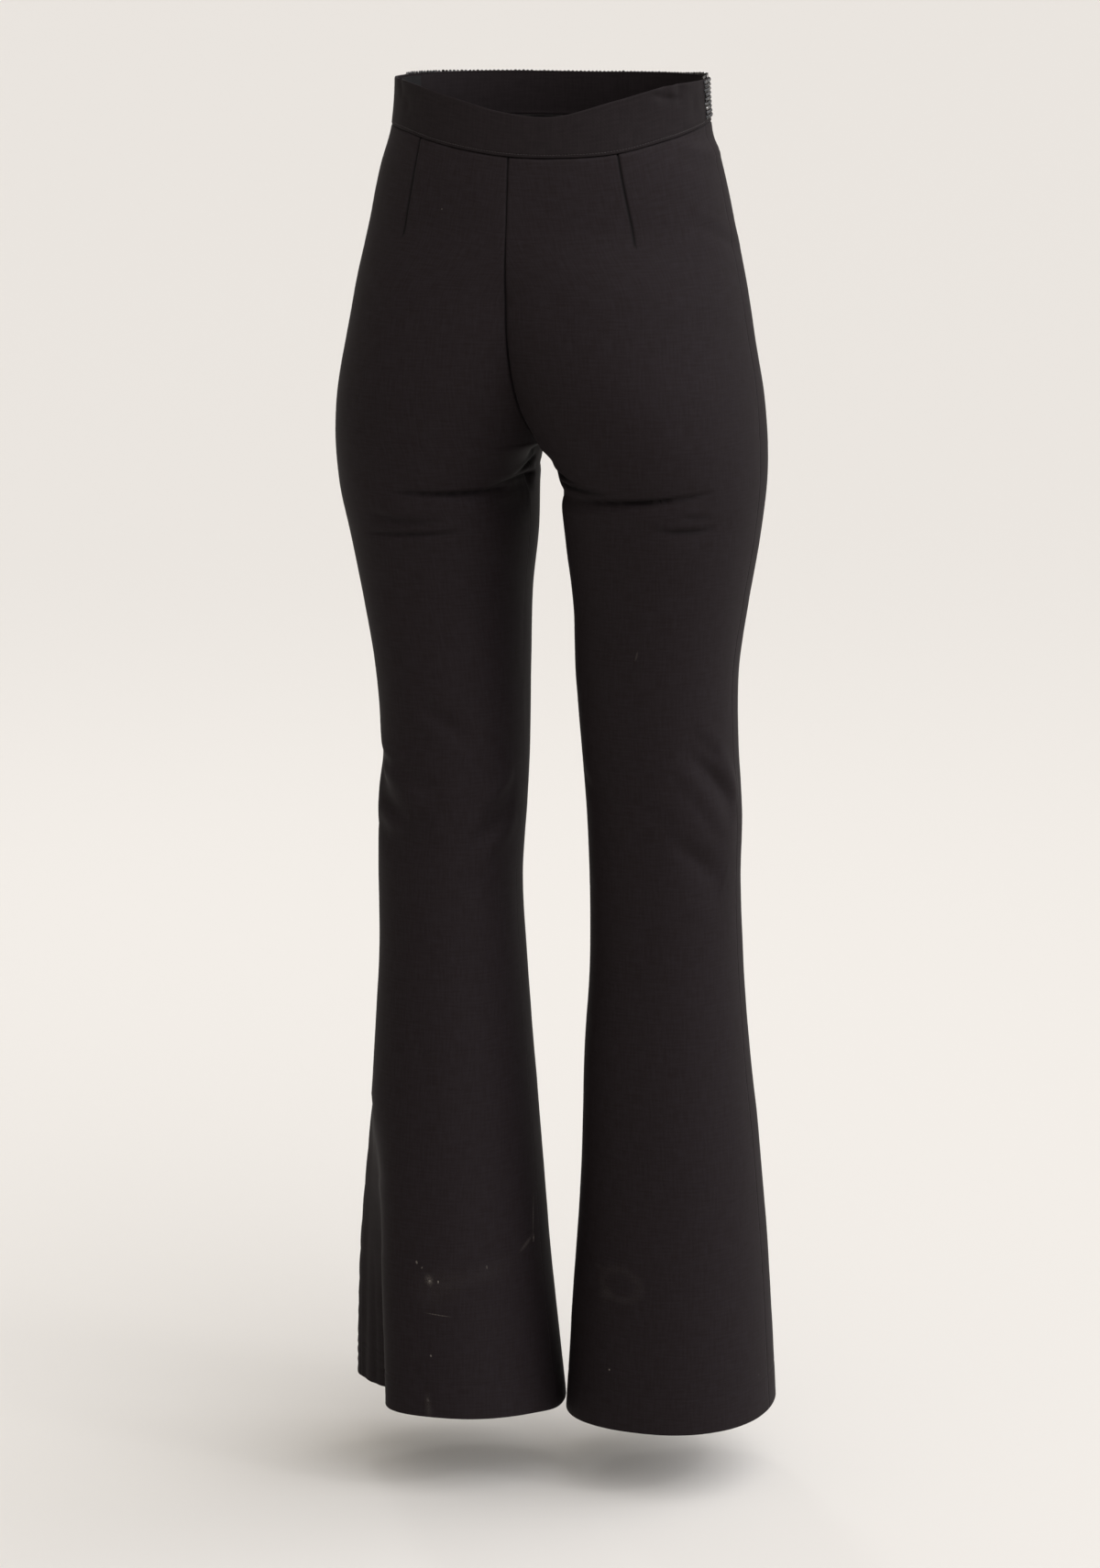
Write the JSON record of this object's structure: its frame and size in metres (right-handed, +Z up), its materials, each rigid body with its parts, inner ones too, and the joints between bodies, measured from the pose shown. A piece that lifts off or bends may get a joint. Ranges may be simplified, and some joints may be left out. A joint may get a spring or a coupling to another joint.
{
  "type": "flared trousers",
  "caption": "High-waisted flared trousers in black stretch suiting with a jewelled front waistband, held in the shape they take when worn.",
  "frame": {"origin": "centre of the waist where the wearer holds the garment, 42 mm below the waistband's top edge at the sides", "axes": "+Z up along the garment, the wearer faces -Y, the wearer's left side is +X"},
  "size_m": [0.367, 0.2376, 1.123],
  "materials": {
    "suiting": "matte stretch suiting, near black",
    "waistband": "matte stretch suiting, near black",
    "stones": "faceted black stones, close set",
    "zip_tape": "woven black tape",
    "zip_metal": "black lacquer, satin"
  },
  "bodies": {
    "garment": {"back_left": "suiting", "back_right": "suiting", "front_left": "suiting", "front_right": "suiting", "waistband_back": "waistband", "waistband_front": "waistband", "bead_trim": "stones", "zip_tape": "zip_tape", "zip_slider": "zip_metal"},
    "pull": {"zip_pull": "zip_metal"}
  },
  "joints": [
    {"name": "pull_swing", "type": "hinge", "parent": "garment", "child": "pull", "pos_m": [0.13127, 0, 0.0343], "axis": [0, -1, 0], "range_deg": [0, 150]}
  ]
}
